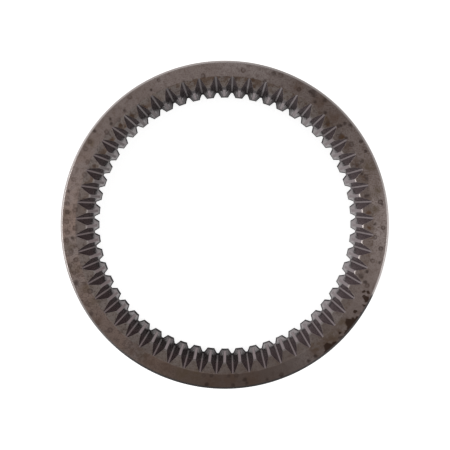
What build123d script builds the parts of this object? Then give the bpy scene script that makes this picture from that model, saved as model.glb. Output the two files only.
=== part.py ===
from build123d import *
from math import acos, cos, pi, radians, sin, tan
import os

# Internal ring gear: a plain steel ring with straight spur teeth cut right through its bore.
# Origin at the middle of the rear face, axis along +Z, front face up, a tooth centred on +X.
# Millimetres and degrees.

# Teeth
gear_module = 4.0
tooth_count = 56
pressure_angle = 30.0
addendum_factor = 0.925  # stub addendum, from the pitch circle in to the tooth tips
dedendum_factor = 1.0  # from the pitch circle out to the floor of a tooth space
root_radius = 0.4  # corner between a flank and the floor of a tooth space

# Ring
rim_thickness = 12.5  # solid wall between the tooth spaces and the outside
face_width = 64.0
outer_chamfer = 2.0  # both outer edges, at 45 degrees

# Tooth ends
front_cone_depth = 4.5  # how far below the front face the end cone ends, at the tip break
front_cone_land = 0.2  # how far the end cone runs out past the tooth spaces
tip_break = 1.0  # 45 degree corner between the end cone and the tooth tips
rear_taper_depth = 24.0  # length of the tapered mouth at the rear, along the axis
rear_taper_rise = 3.5  # how much larger in radius the mouth is at the rear face

cutter_run_out = 1.0  # how far a tooth space is cut past the ends and the tips

pitch_circle = gear_module * tooth_count / 2
base_circle = pitch_circle * cos(radians(pressure_angle))
tip_circle = pitch_circle - addendum_factor * gear_module
root_circle = pitch_circle + dedendum_factor * gear_module
outer_radius = root_circle + rim_thickness
tooth_pitch = 360 / tooth_count


def involute(radius):
    # angle unrolled from the base circle to where the involute meets this radius
    roll = acos(base_circle / radius)
    return tan(roll) - roll


def half_space(radius):
    # half of a tooth space's angle, in radians: a quarter of the pitch at the pitch circle
    return pi / tooth_count / 2 + involute(pitch_circle) - involute(radius)


def on_flank(radius, side):
    angle = side * half_space(radius)
    return (radius * cos(angle), radius * sin(angle))


def in_from_flank(radius, inset, side):
    angle = side * half_space(radius)
    return ((radius - inset) * cos(angle), (radius - inset) * sin(angle))


# One tooth space, centred on +X: two involute flanks, a short floor with rounded corners,
# and an open mouth that runs past the tooth tips.
floor_width = 2 * root_circle * half_space(root_circle)
floor_corner = min(root_radius, 0.35 * floor_width)
with BuildSketch() as tooth_space:
    with BuildLine():
        for side in (-1, 1):
            ThreePointArc(
                on_flank(tip_circle, side),
                on_flank(pitch_circle, side),
                on_flank(root_circle, side),
            )
            Line(on_flank(tip_circle, side), in_from_flank(tip_circle, cutter_run_out, side))
        ThreePointArc(on_flank(root_circle, -1), (root_circle, 0), on_flank(root_circle, 1))
        Line(
            in_from_flank(tip_circle, cutter_run_out, -1),
            in_from_flank(tip_circle, cutter_run_out, 1),
        )
    make_face()
    fillet(tooth_space.vertices().sort_by(Axis.X)[-2:], floor_corner)

# The turned blank, and then all its tooth spaces
with BuildPart() as ring_gear:
    with BuildSketch(Plane.XZ):
        with BuildLine():
            Polyline(
                (tip_circle + rear_taper_rise, 0),
                (outer_radius - outer_chamfer, 0),
                (outer_radius, outer_chamfer),
                (outer_radius, face_width - outer_chamfer),
                (outer_radius - outer_chamfer, face_width),
                (root_circle + front_cone_land, face_width),
                (tip_circle + tip_break, face_width - front_cone_depth),
                (tip_circle, face_width - front_cone_depth - tip_break),
                (tip_circle, rear_taper_depth),
                close=True,
            )
        make_face()
    revolve(axis=Axis.Z)
    with BuildSketch(Plane.XY.offset(-cutter_run_out)):
        with PolarLocations(0, tooth_count, start_angle=tooth_pitch / 2):
            add(tooth_space.sketch)
    extrude(amount=face_width + 2 * cutter_run_out, mode=Mode.SUBTRACT)

ring_gear.part.label = "ring_gear"

os.makedirs("parts", exist_ok=True)
export_step(ring_gear.part, "parts/ring_gear.step")
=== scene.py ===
from functools import reduce
from math import acos, atan, cos, pi, radians, sin, tan

import bpy
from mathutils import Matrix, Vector


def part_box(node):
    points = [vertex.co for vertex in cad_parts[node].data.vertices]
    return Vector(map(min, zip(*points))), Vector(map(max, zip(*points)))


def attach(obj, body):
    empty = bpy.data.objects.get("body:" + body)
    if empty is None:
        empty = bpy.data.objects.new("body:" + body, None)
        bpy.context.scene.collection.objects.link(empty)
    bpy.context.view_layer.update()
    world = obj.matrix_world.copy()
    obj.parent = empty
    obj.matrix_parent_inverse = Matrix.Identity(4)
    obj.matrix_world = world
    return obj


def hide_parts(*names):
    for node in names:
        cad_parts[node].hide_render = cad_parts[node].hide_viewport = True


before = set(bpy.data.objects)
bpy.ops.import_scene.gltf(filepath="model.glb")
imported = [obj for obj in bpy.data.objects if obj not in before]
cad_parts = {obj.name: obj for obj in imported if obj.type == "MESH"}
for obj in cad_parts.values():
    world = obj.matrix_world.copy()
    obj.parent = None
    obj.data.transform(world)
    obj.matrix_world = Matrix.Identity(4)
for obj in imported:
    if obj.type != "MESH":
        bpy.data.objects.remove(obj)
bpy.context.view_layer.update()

print("frame loaded, nodes:", sorted(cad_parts))

# everything is in metres; mm keeps the small sizes readable
mm = 0.001
black = (0.0, 0.0, 0.0, 1.0)
white = (1.0, 1.0, 1.0, 1.0)


def screenColour(red, green, blue):
    # a colour as it looks on screen, 0 to 255, turned into the linear value that shaders want
    def channel(value):
        share = value / 255
        return share / 12.92 if share <= 0.04045 else ((share + 0.055) / 1.055) ** 2.4
    return (channel(red), channel(green), channel(blue), 1.0)


class Wire:
    # the output of a node; sums written on it become Math nodes
    def __init__(self, shader, socket):
        self.shader = shader
        self.socket = socket

    def maths(self, operation, *values):
        return self.shader.node("ShaderNodeMath", {"operation": operation}, dict(enumerate(values)))

    def __add__(self, other):
        return self.maths("ADD", self, other)

    def __radd__(self, other):
        return self.maths("ADD", other, self)

    def __sub__(self, other):
        return self.maths("SUBTRACT", self, other)

    def __rsub__(self, other):
        return self.maths("SUBTRACT", other, self)

    def __mul__(self, other):
        return self.maths("MULTIPLY", self, other)

    def __rmul__(self, other):
        return self.maths("MULTIPLY", other, self)

    def __truediv__(self, other):
        return self.maths("DIVIDE", self, other)

    def __rtruediv__(self, other):
        return self.maths("DIVIDE", other, self)

    def __neg__(self):
        return self.maths("MULTIPLY", self, -1.0)

    def __abs__(self):
        return self.maths("ABSOLUTE", self)

    def atLeast(self, other):
        return self.maths("MAXIMUM", self, other)

    def atMost(self, other):
        return self.maths("MINIMUM", self, other)

    def rootOf(self):
        return self.maths("SQRT", self)

    def ramp(self, low, high):
        # a smooth step, 0 at low and 1 at high; low may be the larger of the two
        sockets = {"Value": self, "From Min": low, "From Max": high}
        return self.shader.node("ShaderNodeMapRange", {"interpolation_type": "SMOOTHSTEP"}, sockets)


class Shader:
    # the nodes of a material or of the world, and the node that they end in
    def __init__(self, owner, end):
        owner.use_nodes = True
        self.tree = owner.node_tree
        self.end = self.tree.nodes[end]

    def plug(self, value, socket):
        if isinstance(value, Wire):
            self.tree.links.new(value.socket, socket)
        else:
            socket.default_value = value

    def node(self, kind, settings, sockets, output=0):
        # any node: its settings first, then a value or a wire for each socket, by its name or number
        made = self.tree.nodes.new(kind)
        for name, value in settings.items():
            setattr(made, name, value)
        for name, value in sockets.items():
            self.plug(value, made.inputs[name])
        return Wire(self, made.outputs[output])

    def set(self, name, value):
        self.plug(value, self.end.inputs[name])

    def blend(self, share, first, second):
        # the first colour where share is 0, the second where it is 1
        return self.node("ShaderNodeMix", {"data_type": "RGBA"}, {0: share, 6: first, 7: second}, output=2)

    def vector(self, operation, *values, output=0):
        return self.node("ShaderNodeVectorMath", {"operation": operation}, dict(enumerate(values)), output)

    def scaled(self, vector, factor):
        return self.node("ShaderNodeVectorMath", {"operation": "SCALE"}, {0: vector, "Scale": factor})

    def axis(self, vector, name):
        return self.node("ShaderNodeSeparateXYZ", {}, {0: vector}, name)

    def noise(self, place, scale, detail=3.0, roughness=0.5, output=0):
        sockets = {"Vector": place, "Scale": scale, "Detail": detail, "Roughness": roughness}
        return self.node("ShaderNodeTexNoise", {}, sockets, output)


# the ring gear, in millimetres and degrees; down to taperRise its sizes are the CAD node's
ringGear = {
    "node": "ring_gear",
    "slot": "bare_steel",
    "module": 4.0,
    "teeth": 56,
    "pressureAngle": 30.0,
    "addendum": 0.925,
    "dedendum": 1.0,
    "rootCorner": 0.4,
    "outerChamfer": 2.0,
    "coneDepth": 4.5,
    "coneLand": 0.2,
    "tipBreak": 1.0,
    "taperDepth": 24.0,
    "taperRise": 3.5,
    "tipCorner": 0.45,  # rounding of the edges that run along a tooth's tip
    "brokenEdge": 0.28,  # rounding of the turned edges
    "cornerSteps": 3,
    "cornerShare": 0.45,  # the most of a side that the rounding of its end may use up
    "outerColumns": 3,  # of the grid on a flank, from the floor to the radius of the rear mouth
    "innerColumns": 2,  # and from there to the tip break
    "wallRows": 4,  # of the grid along the bore
    "edgeSupport": 0.7,  # from an edge with no corner to the straight point that stands in for one
    "mergeGap": 0.002,
    "smoothAngle": 28,
}
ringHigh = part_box(ringGear["node"])[1]
outerRadius = ringHigh.x / mm
faceWidth = ringHigh.z / mm
pitchCircle = ringGear["module"] * ringGear["teeth"] / 2
baseCircle = pitchCircle * cos(radians(ringGear["pressureAngle"]))
tipCircle = pitchCircle - ringGear["addendum"] * ringGear["module"]
rootCircle = pitchCircle + ringGear["dedendum"] * ringGear["module"]
toothPitch = 2 * pi / ringGear["teeth"]

# the radii at which the turned surfaces meet, and the height of the tip break's foot
mouthEdge = tipCircle + ringGear["taperRise"]
breakEdge = tipCircle + ringGear["tipBreak"]
coneEdge = rootCircle + ringGear["coneLand"]
chamferEdge = outerRadius - ringGear["outerChamfer"]
breakFoot = faceWidth - ringGear["coneDepth"] - ringGear["tipBreak"]


def coneHeight(radius):
    # how high the cone on the tooth ends stands at a radius, given as a number or a wire
    return faceWidth - (coneEdge - radius) * (ringGear["coneDepth"] / (coneEdge - breakEdge))


def taperHeight(radius):
    # the same for the tapered mouth at the rear
    return (mouthEdge - radius) * (ringGear["taperDepth"] / ringGear["taperRise"])


def roundedCorner(before, corner, after, radius):
    # a short curve in place of one corner, never longer than its two sides allow
    before, corner, after = Vector(before), Vector(corner), Vector(after)
    sides = (before - corner, after - corner)
    reach = min(radius, *(ringGear["cornerShare"] * side.length for side in sides))
    start, end = (corner + side.normalized() * reach for side in sides)
    steps = ringGear["cornerSteps"]
    shares = [step / steps for step in range(steps + 1)]
    return [start * (1 - t) ** 2 + corner * 2 * t * (1 - t) + end * t ** 2 for t in shares]


def onCircle(radius, angle):
    return Vector((radius * cos(angle), radius * sin(angle)))


def involute(radius):
    roll = acos(baseCircle / radius)
    return tan(roll) - roll


def onFlank(radius):
    halfSpace = toothPitch / 4 + involute(pitchCircle) - involute(radius)
    return onCircle(radius, halfSpace - toothPitch / 2)


def toothOutline():
    # one pitch seen along the axis: floor, flank, tip, flank, floor
    def between(start, end, steps):
        return [start + (end - start) * step / steps for step in range(steps)]

    # the flank has a column where the rear taper ends on it and one where the tip break does
    depths = between(rootCircle, mouthEdge, ringGear["outerColumns"])
    depths += between(mouthEdge, breakEdge, ringGear["innerColumns"])
    flank = [onFlank(depth) for depth in depths + [breakEdge, tipCircle]]
    floorMiddle = onCircle(rootCircle, -toothPitch / 2)
    tipMiddle = onCircle(tipCircle, 0)
    half = [floorMiddle]
    half += roundedCorner(floorMiddle, flank[0], flank[1], ringGear["rootCorner"])
    half += flank[1:-1]
    half += roundedCorner(flank[-2], flank[-1], tipMiddle, ringGear["tipCorner"])
    return half + [tipMiddle] + [Vector((point.x, -point.y)) for point in reversed(half)]


def sectionAt(wall):
    # the closed section of the ring in a plane through the axis, where its bore stands at radius wall
    # past the mouth and past the tip break, a straight point stands in for the corner that isn't there,
    # so that every section has as many points
    if wall < mouthEdge:
        rear = [(mouthEdge, 0), (wall, taperHeight(wall))]
    else:
        rear = [(wall, 0), (wall, ringGear["edgeSupport"])]
    if wall < breakEdge:
        front = [(wall, coneHeight(breakEdge) - (breakEdge - wall)), (breakEdge, coneHeight(breakEdge))]
    else:
        inward = min(wall + ringGear["edgeSupport"], (wall + coneEdge) / 2)
        front = [(wall, coneHeight(wall)), (inward, coneHeight(inward))]
    corners = rear + front + [
        (coneEdge, faceWidth),
        (chamferEdge, faceWidth),
        (outerRadius, faceWidth - ringGear["outerChamfer"]),
        (outerRadius, ringGear["outerChamfer"]),
        (chamferEdge, 0),
    ]
    points = []
    for number, corner in enumerate(corners):
        before, after = corners[number - 1], corners[(number + 1) % len(corners)]
        points += roundedCorner(before, corner, after, ringGear["brokenEdge"])
        if corner == rear[-1]:
            # the long wall of the bore starts here, and gets rows of its own
            foot, head = Vector(corner), Vector(after)
            rows = ringGear["wallRows"]
            points += [foot + (head - foot) * row / rows for row in range(1, rows)]
    return points + points[:1]


def makeRing():
    # one tooth is a grid wrapped round the section, column by column, and spun round the axis
    outline = toothOutline()
    sections = [sectionAt(point.length) for point in outline]
    width, rows = len(outline), len(sections[0])
    bpy.ops.object.select_all(action="DESELECT")
    bpy.ops.mesh.primitive_grid_add(x_subdivisions=width - 1, y_subdivisions=rows - 1, size=ringHigh.x)
    ring = bpy.context.active_object
    ring.name = "ringGear"
    for column, (point, section) in enumerate(zip(outline, sections)):
        angle = atan(point.y / point.x)
        for row, (radius, height) in enumerate(section):
            place = Vector((radius * cos(angle), radius * sin(angle), height)) * mm
            ring.data.vertices[row * width + column].co = place
    bpy.ops.object.mode_set(mode="EDIT")
    bpy.ops.mesh.select_all(action="SELECT")
    bpy.ops.mesh.spin(steps=ringGear["teeth"], dupli=True, angle=2 * pi, center=(0, 0, 0), axis=(0, 0, 1))
    bpy.ops.mesh.select_all(action="SELECT")
    bpy.ops.mesh.remove_doubles(threshold=ringGear["mergeGap"] * mm)
    bpy.ops.mesh.normals_make_consistent(inside=False)
    bpy.ops.object.mode_set(mode="OBJECT")
    bpy.ops.object.shade_smooth_by_angle(angle=radians(ringGear["smoothAngle"]))
    flats = ring.modifiers.new("flatFaces", "WEIGHTED_NORMAL")
    flats.keep_sharp = True
    bpy.ops.object.modifier_apply(modifier=flats.name)
    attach(ring, "root")
    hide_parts(ringGear["node"])
    print("ring made, faces:", len(ring.data.polygons))
    return ring


steelLook = {
    "bare": screenColour(129, 117, 113),
    "pale": screenColour(142, 131, 128),
    "warm": screenColour(143, 122, 112),
    "dull": screenColour(97, 83, 77),
    "toothEnd": screenColour(124, 112, 107),
    # painted light: a lighter copy of the tooth-end colour, for the top and lower left
    "toothEndLit": screenColour(160, 148, 142),
    "oldOil": screenColour(100, 70, 42),
    # lit and shaded copies of the flank colour, painted light and painted shade on what the flanks reflect;
    # the shaded one also draws the real streaks
    "flank": screenColour(112, 96, 96),
    "flankLit": screenColour(152, 141, 143),
    "flankShadeAndStreaks": screenColour(60, 49, 48),
    "clean": screenColour(168, 160, 157),
    # painted highlight on the chamfer at the right and the left
    "bright": screenColour(198, 191, 189),
    # painted shade in the teeth and on the chamfer below, with some real soiling and stains
    "shadeAndGrime": screenColour(42, 36, 37),
    "bareRoughness": 0.34,
    "flankRoughness": 0.2,
    "cleanRoughness": 0.26,
    "stainRoughness": 0.5,
    "shadeAndGrimeRoughness": 0.95,
    "edgeTint": (0.62, 0.588, 0.592, 1.0),
    "grooveTilt": 0.16,
    "groovesPerMm": 3.0,
    # how high the painted contact shadow along the rear edge of the teeth reaches
    "rearShadeHeight": 12.0,
}

# the stretches of the ring on which something shows: the angle round the gear, how far it fades out to
# each side, both in degrees, and its strength there
stretches = {
    "warm": [(195, 60, 0.7), (250, 45, 1)],
    # the face duller and darker in some stretches, most towards the bottom
    "dull": [(272, 34, 0.75), (34, 30, 0.3), (138, 34, 0.3), (330, 20, 0.3)],
    # painted light on the tooth ends at the top and lower left
    "litToothEnds": [(105, 80, 1), (228, 50, 0.7)],
    "speckled": [(28, 50, 0.7)],
    "fadedMarks": [(178, 48, 0.22)],
    "spottedFace": [(204, 44, 1)],
    "spottedRim": [(54, 14, 1)],
    "oilFarIn": [(148, 45, 1)],
    "oilOnEnds": [(112, 75, 0.8), (30, 35, 0.24)],
    # painted light (lit) and painted shade (shaded) on the flanks, floors and tips
    "litFlanks": [(345, 80, 1), (78, 50, 0.8)],
    "shadedFlanks": [(128, 44, 0.3)],
    "unshadedFlanks": [(345, 90, 1)],
    "litTips": [(262, 50, 0.7), (88, 40, 0.7)],
    "unshadedTips": [(262, 45, 1), (88, 40, 1)],
    "shadedTips": [(142, 46, 1)],
    # painted shade on the chamfer below, with real stains at the lower right, and painted highlights on it
    # at the right and the left
    "shadedChamfer": [(268, 78, 0.93), (50, 50, 0.22)],
    "darkChamfer": [(308, 29, 1)],
    "chamferHighlights": [(352, 28, 0.8), (165, 45, 0.4)],
    "dullBreaks": [(75, 80, 0.7)],
    # painted shade in the teeth: most at the top and below, least on the right, in the mouth, on the floors
    # at the top and along the tip edges
    "shadeTop": [(92, 52, 1)],
    "shadeBelow": [(256, 44, 1)],
    "unshadedRear": [(352, 30, 0.65)],
    "shadedMouth": [(238, 75, 1)],
    "shadedFloors": [(100, 44, 0.4)],
    "darkTipEdges": [(262, 60, 0.8), (92, 52, 0.8)],
}

# the heights over the rear face between which painted shade in the teeth comes in, and the soiling on the
# tips at the top, in millimetres
heights = {
    "shadedRear": (26, 14),
    "shadedMouth": (20, 13),
    "shadedTop": (40, 22),
    "shadedBelow": (36, 18),
    "darkTipEdges": (18, 26),
    "darkTips": (48, 53),
    "rearLine": (9, 4),
}

# how noise pulls the outlines of marks out of round: its scale, its detail, and the pull in millimetres
outlines = {
    "smooth": (0.5, 2.0, 1.4),
    "ragged": (0.5, 4.0, 4.5),
    "smeared": (0.35, 3.0, 3.2),
}

# what water, oil and rust have left on the face and the tooth ends
# a mark fades in between two shares of its size, from the outside; strength is how dark it is everywhere,
# inPatches what comes on top in patches, and hollow what its middle loses
# its places are an angle round the gear, a radius and its size, in degrees and millimetres
marks = {
    "oliveHaze": {
        "colour": screenColour(92, 76, 57),
        "outline": "ragged",
        "fade": (1.0, 0.2),
        "strength": 0.15,
        "inPatches": 0.45,
        "hollow": 0.0,
        "places": [
            (313.5, 120.5, 10), (320.5, 120, 8), (307.5, 118, 7), (254, 120.5, 10), (259, 119, 8),
            (195.5, 122, 8), (203.5, 119, 6), (210.5, 118, 7), (186.5, 122, 8), (175.5, 123.5, 7),
            (22.5, 122, 7), (12.5, 121, 6), (46.5, 114, 5), (147.5, 122.5, 5), (237, 119, 7),
            (6.5, 118, 5),
        ],
    },
    "brownHaze": {
        "colour": screenColour(88, 67, 54),
        "outline": "ragged",
        "fade": (1.0, 0.2),
        "strength": 0.15,
        "inPatches": 0.45,
        "hollow": 0.0,
        "places": [
            (240, 121, 12), (247, 121, 10), (234, 120, 9), (306.5, 121, 9), (316.5, 123, 8),
            (322.5, 121, 6), (311.5, 120, 7), (318, 119.5, 6), (313, 122.5, 7), (308, 122.5, 6),
            (52.5, 122, 10), (44.5, 120, 9), (62.5, 122, 8), (266, 122, 12), (280, 122, 10),
            (216, 124, 7), (272, 120, 9),
        ],
    },
    "faintRings": {
        "colour": screenColour(84, 68, 62),
        "outline": "smooth",
        "fade": (1.05, 0.7),
        "strength": 0.32,
        "inPatches": 0.42,
        "hollow": 0.5,
        "places": [
            (172, 116.5, 2.4), (159.5, 116, 2.2), (147.5, 123.5, 2.1), (167.5, 116.5, 2),
            (189, 121.5, 2.4), (187, 117.5, 2.1), (190, 125, 1.9), (231, 118, 2.4), (29, 124, 2.1),
            (83, 121.5, 2.2), (126, 124, 2.2), (337.5, 120.5, 2.3), (291, 124.5, 2.2), (222, 121, 2.5),
            (347, 118.5, 2.2), (162.5, 123, 2), (154.5, 117.5, 1.9), (195.5, 116.5, 2.1),
            (209, 123.5, 2.2), (262, 118, 2),
        ],
    },
    "rings": {
        "colour": screenColour(70, 55, 50),
        "outline": "smooth",
        "fade": (1.05, 0.7),
        "strength": 0.32,
        "inPatches": 0.42,
        "hollow": 0.5,
        "places": [
            (173.5, 117, 2.4), (178, 123, 2.4), (174.5, 123, 2.1), (171.5, 123.5, 2.1),
            (150.5, 123.5, 2.3), (141, 117, 2.5), (134.5, 116.5, 1.9), (114, 124, 1.8), (98, 117.5, 2.3),
            (69.5, 124.5, 2.4), (61.5, 120.5, 2), (33, 117, 2.5), (19.5, 116.5, 2.2), (9, 122.5, 2.2),
            (359.5, 123.5, 2), (352, 123, 2.2), (356, 117.5, 2), (274.5, 117.5, 2.2), (205.5, 117, 2.6),
            (197, 123, 2), (194, 124.5, 2), (192.5, 119, 2.3), (185, 123.5, 2.4), (182, 122.5, 2.3),
            (180.5, 116.5, 2.4),
        ],
    },
    "spots": {
        "colour": screenColour(58, 45, 41),
        "outline": "smooth",
        "fade": (1.1, 0.35),
        "strength": 0.45,
        "inPatches": 0.35,
        "hollow": 0.0,
        "places": [
            (136.5, 121.5, 1.6), (137.5, 118.5, 1.9), (130.5, 118.5, 1.8), (105.5, 116.5, 1.3),
            (118, 120, 1.5), (85.5, 114.5, 2), (79, 115.5, 2.1), (74.5, 116.5, 2), (72, 124, 2.4),
            (56.5, 124, 3.2), (51.5, 124.5, 2.3), (48.5, 117.5, 2), (41.5, 117.5, 2.2), (39, 125, 2.4),
            (37.5, 114, 2.8), (32, 124.5, 2.3), (25.5, 118, 2.2), (25, 113.5, 2.3), (12, 113.5, 2.4),
            (1, 117, 1.7), (347, 124, 1.4), (342.5, 116.5, 1.9), (338.5, 118, 2.1), (340, 113.5, 2.7),
            (305, 124.5, 2.3), (302, 124.5, 2), (291, 125, 2.3), (285.5, 125, 1.7), (277.5, 121.5, 2.3),
            (278, 124.5, 1.9), (273, 125, 2.2), (271.5, 117.5, 1.9), (263.5, 125, 2.4), (265, 117.5, 2),
            (213, 125, 2.4), (200.5, 124, 2.8), (202, 118, 2.2), (184, 119, 1.7), (143.5, 125, 1.9),
            (167, 124.5, 1.6), (316, 125.5, 1.7), (325.5, 126, 1.6), (45, 113.5, 2.2), (40.5, 122.5, 2),
            (18.5, 116.5, 1.8), (8, 123.5, 1.6), (54, 119, 1.7), (28, 124, 1.6), (55.5, 122.5, 2.2),
            (57.5, 123.5, 2), (41, 119, 1.8), (36, 116.5, 1.9), (21, 114.5, 1.6),
        ],
    },
    "toothRust": {
        "colour": screenColour(82, 60, 44),
        "outline": "smeared",
        "fade": (1.1, 0.35),
        "strength": 0.7,
        "inPatches": 0.25,
        "hollow": 0.0,
        "places": [
            (137, 111.5, 3.4), (130, 112, 3.4), (143, 110.5, 2.8), (149, 111, 3), (156.5, 110, 2.6),
            (162.5, 112.5, 2.8), (124, 112, 2.6), (135.5, 113, 2.2), (169, 111.5, 2), (44.5, 113, 2.4),
            (37.5, 115, 2.6), (5.5, 113, 2.2), (359.5, 113, 2), (155, 112.5, 2), (78, 111.5, 1.8),
        ],
    },
    "burns": {
        "colour": screenColour(52, 35, 25),
        "outline": "ragged",
        "fade": (1.3, 0.85),
        "strength": 0.94,
        "inPatches": 0.0,
        "hollow": 0.0,
        "places": [
            (325.5, 127.5, 2.2), (323.5, 126, 3.4), (322.5, 124, 3), (322.5, 122, 1.9), (321, 127, 2.9),
            (319, 127.5, 2.3), (313, 127, 2.4), (311, 126, 3.1), (310.5, 124, 2.5), (309.5, 127, 2.3),
            (335.5, 123.5, 1.2), (335, 120.5, 1.2), (333, 124.5, 2), (330.5, 125.5, 1), (327, 122, 1.3),
            (317.5, 123, 1.3), (328, 127.5, 1.5), (333.5, 121.5, 1), (329.5, 127.5, 1.2),
            (316.5, 127.5, 1.4),
        ],
    },
}


class RingPlace:
    # where a point of the ring is, in millimetres, and masks for the surface it is on
    def __init__(self, steel):
        self.point = steel.scaled(steel.node("ShaderNodeTexCoord", {}, {}, "Object"), 1 / mm)
        self.x, self.y, self.z = (steel.axis(self.point, name) for name in "XYZ")
        self.radius = (self.x * self.x + self.y * self.y).rootOf()
        self.straight = steel.node("ShaderNodeNewGeometry", {}, {}, "Normal")
        radius, z = self.radius, self.z
        underCone = (z - coneHeight(radius)).ramp(-0.1, -0.35)
        self.inTeeth = radius.ramp(coneEdge + 0.1, coneEdge - 0.2) * underCone
        self.atFront = z.ramp(breakFoot - 1.0, breakFoot - 0.5)
        offWall = radius.ramp(outerRadius - 0.05, outerRadius - 0.4)
        self.front = self.atFront * (1 - self.inTeeth) * offWall
        self.toothEnd = self.front * radius.ramp(coneEdge + 0.3, coneEdge - 0.3)
        onBreak = abs(radius - z - (tipCircle - breakFoot)).ramp(0.3, 0.12)
        self.tipBreak = onBreak * radius.ramp(breakEdge + 0.3, breakEdge)
        onChamfer = abs(radius + abs(z - faceWidth / 2) - (chamferEdge + faceWidth / 2)).ramp(0.3, 0.15)
        self.chamfer = onChamfer * radius.ramp(chamferEdge - 0.3, chamferEdge)
        self.tipLand = radius.ramp(tipCircle + 0.2, tipCircle + 0.05)
        self.taper = (z - taperHeight(radius)).ramp(1.5, 0.5)

    def on(self, name):
        # the strength of the named stretches, whole in the middle of each and nothing past its ends
        def strengthOf(angle, spread, strength):
            toward = (self.x * cos(radians(angle)) + self.y * sin(radians(angle))) / self.radius
            return toward.ramp(cos(radians(spread)), 1.0) * strength
        return reduce(Wire.atLeast, [strengthOf(*stretch) for stretch in stretches[name]])


def pulledAbout(steel, point, scale, detail, pull):
    # a place seen from above, pulled about by noise so that outlines aren't round
    shift = steel.vector("SUBTRACT", steel.noise(point, scale, detail, output="Color"), (0.5, 0.5, 0.5))
    moved = steel.vector("ADD", point, steel.scaled(shift, pull))
    return steel.vector("MULTIPLY", moved, (1.0, 1.0, 0.0))


def nearestMark(steel, flat, places):
    # how far the closest mark is, as a share of its own size
    def shareOf(angle, radius, size):
        middle = (*onCircle(radius, radians(angle)), 0.0)
        return steel.vector("DISTANCE", flat, middle, output="Value") / size
    return reduce(Wire.atMost, [shareOf(*place) for place in places])


def bareMetal(steel, where, drift, mottle, speckle):
    # turned steel in paler and duller drifts, with a fine mottle; the tooth ends carry painted light at the
    # top and lower left
    look = steelLook
    face = steel.blend(where.on("warm"), look["bare"], look["warm"])
    # painted light: the tooth ends lighter at the top and lower left
    ends = steel.blend(where.on("litToothEnds"), look["toothEnd"], look["toothEndLit"])
    colour = steel.blend(where.toothEnd, face, ends)
    colour = steel.blend(drift.ramp(0.48, 0.75), colour, look["pale"])
    # the face duller and darker in some stretches, most towards the bottom
    colour = steel.blend(where.on("dull") * (1 - where.toothEnd), colour, look["dull"])
    colour = steel.blend(mottle.ramp(0.46, 0.75) * 0.7, colour, look["dull"])
    return steel.blend(speckle.ramp(0.45, 0.75) * (0.8 + where.on("speckled")), colour, look["dull"])


def addMarks(steel, where, colour, mottle, speckle):
    # gives the colour with the marks on it, and how stained each place is
    patchy = steel.noise(where.point, 0.22).ramp(0.3, 0.62)
    flat = {name: pulledAbout(steel, where.point, *outline) for name, outline in outlines.items()}
    showing = where.front * (1 - where.on("fadedMarks"))
    stains = []
    for mark in marks.values():
        share = nearestMark(steel, flat[mark["outline"]], mark["places"])
        depth = share.ramp(*mark["fade"]) * (mark["strength"] + mark["inPatches"] * patchy) * showing
        if mark["hollow"]:
            depth = depth * (1 - mark["hollow"] * share.ramp(0.6, 0.2))
        colour = steel.blend(depth, colour, mark["colour"])
        stains.append(depth)
    nearRim = where.radius.ramp(rootCircle + 3, rootCircle + 7)
    spotted = speckle.ramp(0.52, 0.62) * mottle.ramp(0.42, 0.56) * where.front
    spotted = spotted * where.on("spottedFace").atLeast(where.on("spottedRim") * nearRim)
    colour = steel.blend(spotted * 0.35, colour, marks["spots"]["colour"])
    return colour, reduce(Wire.atLeast, stains + [spotted * 0.4])


def addOldOil(steel, where, colour):
    # old oil caught on the tooth ends: far out on most of them, near the tips on the upper left
    farOut = where.radius.ramp(tipCircle + 0.7, tipCircle + 5.2)
    farIn = where.radius.ramp(tipCircle + 5.2, tipCircle + 2.2)
    caught = steel.noise(where.point, 0.17, roughness=0.6).ramp(0.43, 0.58) * where.toothEnd
    caught = caught * (farOut + (farIn - farOut) * where.on("oilFarIn"))
    return steel.blend(caught * (0.2 + where.on("oilOnEnds")) * 0.6, colour, steelLook["oldOil"])


def flankColourAndPaintedLight(steel, where):
    # the flanks, floors and tips, with painted light and painted shade on what they reflect: painted light
    # on the right and on the tips below and at the top, painted shade at the upper left, towards the rear
    # and on the floors, darkest on the tips at the upper left; the streaks along the teeth are real
    look, tipLand = steelLook, where.tipLand
    streak = steel.noise(steel.vector("MULTIPLY", where.point, (1.0, 1.0, 0.05)), 1.1, roughness=0.6)
    colour = steel.blend(where.on("litFlanks"), look["flank"], look["flankLit"])
    colour = steel.blend(tipLand * where.on("litTips"), colour, look["flankLit"])
    shadedRear = where.z.ramp(*heights["shadedRear"]) * (1 - where.on("unshadedFlanks")) * 0.8
    shadedFloor = where.radius.ramp(rootCircle - 0.6, rootCircle - 0.1) * 0.3
    shaded = where.on("shadedFlanks").atLeast(shadedRear).atLeast(shadedFloor)
    shaded = (shaded * (1 - tipLand * where.on("unshadedTips"))).atLeast(tipLand * where.on("shadedTips"))
    return steel.blend(shaded.atLeast(streak.ramp(0.5, 0.75) * 0.45), colour, look["flankShadeAndStreaks"])


def chamferShadeAndStains(where):
    # painted shade on the chamfer below and a little at the upper right, with real dark stains at the lower
    # right; the chamfer is clean on the left, the top and the right, and the painted shade is darkest at
    # its lip
    shadeAndStains = where.on("shadedChamfer").atLeast(where.on("darkChamfer").ramp(0.0, 0.07) * 0.82)
    lip = where.radius.ramp(outerRadius - 1.4, outerRadius - 0.6) * shadeAndStains.ramp(0.5, 0.8)
    return shadeAndStains.atLeast(lip), lip


def brightEdges(steel, where, drift):
    # metal worn bright on the tip breaks and on the rounded edge between the cone and the face
    lean = steel.axis(where.straight, "Z")
    rounded = lean.ramp(0.05, 0.25) * lean.ramp(0.81, 0.7) * where.atFront
    rounded = rounded * where.radius.ramp(coneEdge + 0.6, coneEdge + 0.3)
    breaks = where.tipBreak * (0.3 + 0.5 * drift.ramp(0.35, 0.6)) * (1 - where.on("dullBreaks"))
    return breaks.atLeast(rounded * 0.8)


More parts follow.
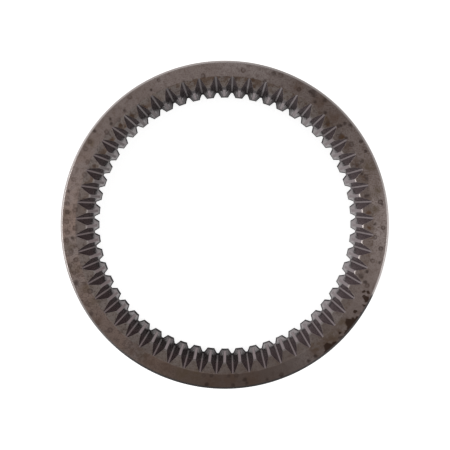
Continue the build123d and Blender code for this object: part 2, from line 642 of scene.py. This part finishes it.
def rearShadeAndGrime(where):
    # painted shade in the teeth, partly real soiling: along the rear edge a painted contact shadow with
    # some real soiling, deepest at the top and below and least on the right; painted shade in the tapered
    # mouth, on the flanks towards the rear at the top and below, on the floors at the top and along the tip
    # edges; and real soiling on the front of the tips at the top
    radius, z, tipLand, taper = where.radius, where.z, where.tipLand, where.taper
    top, below = where.on("shadeTop"), where.on("shadeBelow")
    offFloor = radius.ramp(rootCircle - 0.3, rootCircle - 1.8)
    tipEdge = radius.ramp(tipCircle + 0.06, tipCircle + 0.18)
    tipEdge = tipEdge * radius.ramp(tipCircle + 0.9, tipCircle + 0.45)
    deep = steelLook["rearShadeHeight"] * (1 + 0.15 * top)
    rear = z.ramp(deep, deep * 0.4) * offFloor.atLeast(0.15 + 0.85 * top.atLeast(below))
    layers = [
        rear * (1 - where.on("unshadedRear")),
        taper * (0.3 + 0.4 * top),
        taper * z.ramp(*heights["shadedMouth"]) * where.on("shadedMouth"),
        z.ramp(*heights["shadedTop"]) * top * (1 - tipLand) * 0.52,
        z.ramp(*heights["shadedBelow"]) * below * (1 - tipLand) * 0.45,
        radius.ramp(rootCircle - 0.8, rootCircle - 0.3) * where.on("shadedFloors"),
        z.ramp(*heights["darkTipEdges"]) * tipEdge * where.on("darkTipEdges"),
        z.ramp(*heights["darkTips"]) * tipLand * top * 0.7,
        z.ramp(*heights["rearLine"]) * offFloor.atLeast(0.4) * 0.9,
    ]
    return reduce(Wire.atLeast, layers) * where.inTeeth


def turnedNormal(steel, where):
    # fine turning marks tip the surface a little across the direction of the cut
    around = steel.node("ShaderNodeCombineXYZ", {}, {"X": -where.y, "Y": where.x, "Z": 0.0})
    across = steel.vector("CROSS_PRODUCT", where.straight, steel.vector("NORMALIZE", around))
    cut = (where.radius - where.z) * steelLook["groovesPerMm"]
    grooves = steel.node("ShaderNodeTexNoise", {"noise_dimensions": "1D"}, {"W": cut, "Detail": 1.0})
    tilt = (grooves - 0.5) * (2 * steelLook["grooveTilt"])
    return steel.vector("NORMALIZE", steel.vector("ADD", where.straight, steel.scaled(across, tilt)))


def steelFinish():
    look = steelLook
    material = bpy.data.materials.new("steel")
    steel = Shader(material, "Principled BSDF")
    where = RingPlace(steel)
    drift = steel.noise(where.point, 0.035)
    mottle = steel.noise(where.point, 0.3, detail=4.0, roughness=0.65)
    speckle = steel.noise(where.point, 1.0)
    colour = bareMetal(steel, where, drift, mottle, speckle)
    colour, stained = addMarks(steel, where, colour, mottle, speckle)
    colour = addOldOil(steel, where, colour)
    shadeAndStains, lip = chamferShadeAndStains(where)
    # painted highlights on the chamfer at the right and the left, and painted shade on it below
    rim = steel.blend(where.on("chamferHighlights"), look["clean"], look["bright"])
    colour = steel.blend(where.chamfer, colour, steel.blend(shadeAndStains, rim, look["shadeAndGrime"]))
    colour = steel.blend(where.inTeeth, colour, flankColourAndPaintedLight(steel, where))
    colour = steel.blend(brightEdges(steel, where, drift), colour, look["clean"])
    # painted shade in the teeth, with some real soiling
    shadeAndGrime = rearShadeAndGrime(where)
    steel.set("Base Color", steel.blend(shadeAndGrime, colour, look["shadeAndGrime"]))

    # the painted shade, with its soiling and stains, is no metal, and marks only a little less than the
    # steel
    matt = shadeAndGrime.atLeast(where.chamfer * shadeAndStains * (0.8 + lip * 0.2))
    steel.set("Metallic", 1 - matt.atLeast(stained * 0.35))
    steel.set("Specular Tint", look["edgeTint"])
    bare = look["bareRoughness"]
    roughness = bare + where.inTeeth * (look["flankRoughness"] - bare) + where.tipBreak * 0.08
    roughness = roughness + where.chamfer * (1 - shadeAndStains) * (look["cleanRoughness"] - bare)
    roughness = roughness + stained * (look["stainRoughness"] - bare) + (mottle - 0.5) * 0.12
    steel.set("Roughness", roughness.atLeast(matt * look["shadeAndGrimeRoughness"]))
    steel.set("Normal", turnedNormal(steel, where))
    print("steel finish made")
    return material


ring = makeRing()
ring.data.materials.clear()
ring.data.materials.append(steelFinish())

studio = {
    "floorSide": 6.0,
    "paper": (0.8, 0.8, 0.8, 1.0),
    "paperRoughness": 0.9,
    "paperGlow": 0.82,
    "paperMirrored": 0.6,
    "worldLight": 0.4,
    "lampDistance": 1.3,
    "lamps": {
        # where each stands round the gear and how high, in degrees, its width and height in metres,
        # and its brightness
        "leftBox": (172, 62, 0.6, 0.6, 0.9),
        "rightBox": (-6, 62, 0.6, 0.6, 1.0),
        "topBox": (102, 64, 0.5, 0.5, 0.7),
        "leftStrip": (182, 13, 1.1, 0.22, 7.0),
        "rightStrip": (-8, 13, 0.45, 0.2, 3.5),
    },
}

# the camera looks down on the front face from a little above its middle; tilt, turn and roll are in degrees
view = {
    "distance": 441.4 * mm,
    "across": 2.4 * mm,
    "up": 15.8 * mm,
    "tilt": -2.376,
    "turn": 0.388,
    "roll": -0.104,
    "lens": 45.38,
    "shift": (0.0031, 0.0112),
}


def makeFloor():
    # pale paper, which glows enough to look white to the camera, and a little less where steel mirrors it
    bpy.ops.object.select_all(action="DESELECT")
    bpy.ops.mesh.primitive_plane_add(size=studio["floorSide"], location=(0, 0, 0))
    floor = bpy.context.active_object
    floor.name = "floor"
    material = bpy.data.materials.new("paper")
    paper = Shader(material, "Principled BSDF")
    paper.set("Base Color", studio["paper"])
    paper.set("Roughness", studio["paperRoughness"])
    seen = paper.node("ShaderNodeLightPath", {}, {}, "Is Camera Ray")
    mirrored = paper.node("ShaderNodeLightPath", {}, {}, "Is Glossy Ray")
    glow = (seen * studio["paperGlow"]).atLeast(mirrored * studio["paperMirrored"])
    paper.set("Emission Color", paper.blend(glow, black, white))
    paper.set("Emission Strength", 1.0)
    floor.data.materials.append(material)


def makeWorld():
    # white where the camera sees it, and a plain low light everywhere else
    world = bpy.data.worlds.new("studio")
    bpy.context.scene.world = world
    air = Shader(world, "Background")
    seen = air.node("ShaderNodeLightPath", {}, {}, "Is Camera Ray")
    air.set("Color", white)
    air.set("Strength", seen * (1 - studio["worldLight"]) + studio["worldLight"])


def makeLamps():
    for name, (azimuth, elevation, width, height, brightness) in studio["lamps"].items():
        lamp = bpy.data.lights.new(name, "AREA")
        lamp.shape = "RECTANGLE"
        lamp.size = width
        lamp.size_y = height
        lamp.energy = brightness * pi * width * height
        stand = bpy.data.objects.new(name, lamp)
        bpy.context.scene.collection.objects.link(stand)
        turn, lift = radians(azimuth), radians(elevation)
        direction = Vector((cos(lift) * cos(turn), cos(lift) * sin(turn), sin(lift)))
        stand.location = direction * studio["lampDistance"]
        stand.rotation_euler = direction.to_track_quat("Z", "Y").to_euler()


def makeCamera():
    lens = bpy.data.cameras.new("camera")
    camera = bpy.data.objects.new("camera", lens)
    bpy.context.scene.collection.objects.link(camera)
    camera.location = (view["across"], view["up"], ringHigh.z + view["distance"])
    camera.rotation_euler = (radians(view["tilt"]), radians(view["turn"]), radians(view["roll"]))
    lens.lens = view["lens"]
    lens.shift_x, lens.shift_y = view["shift"]
    bpy.context.scene.camera = camera


makeFloor()
makeWorld()
makeLamps()
makeCamera()
bpy.context.scene.view_settings.view_transform = "Standard"

print("scene set")
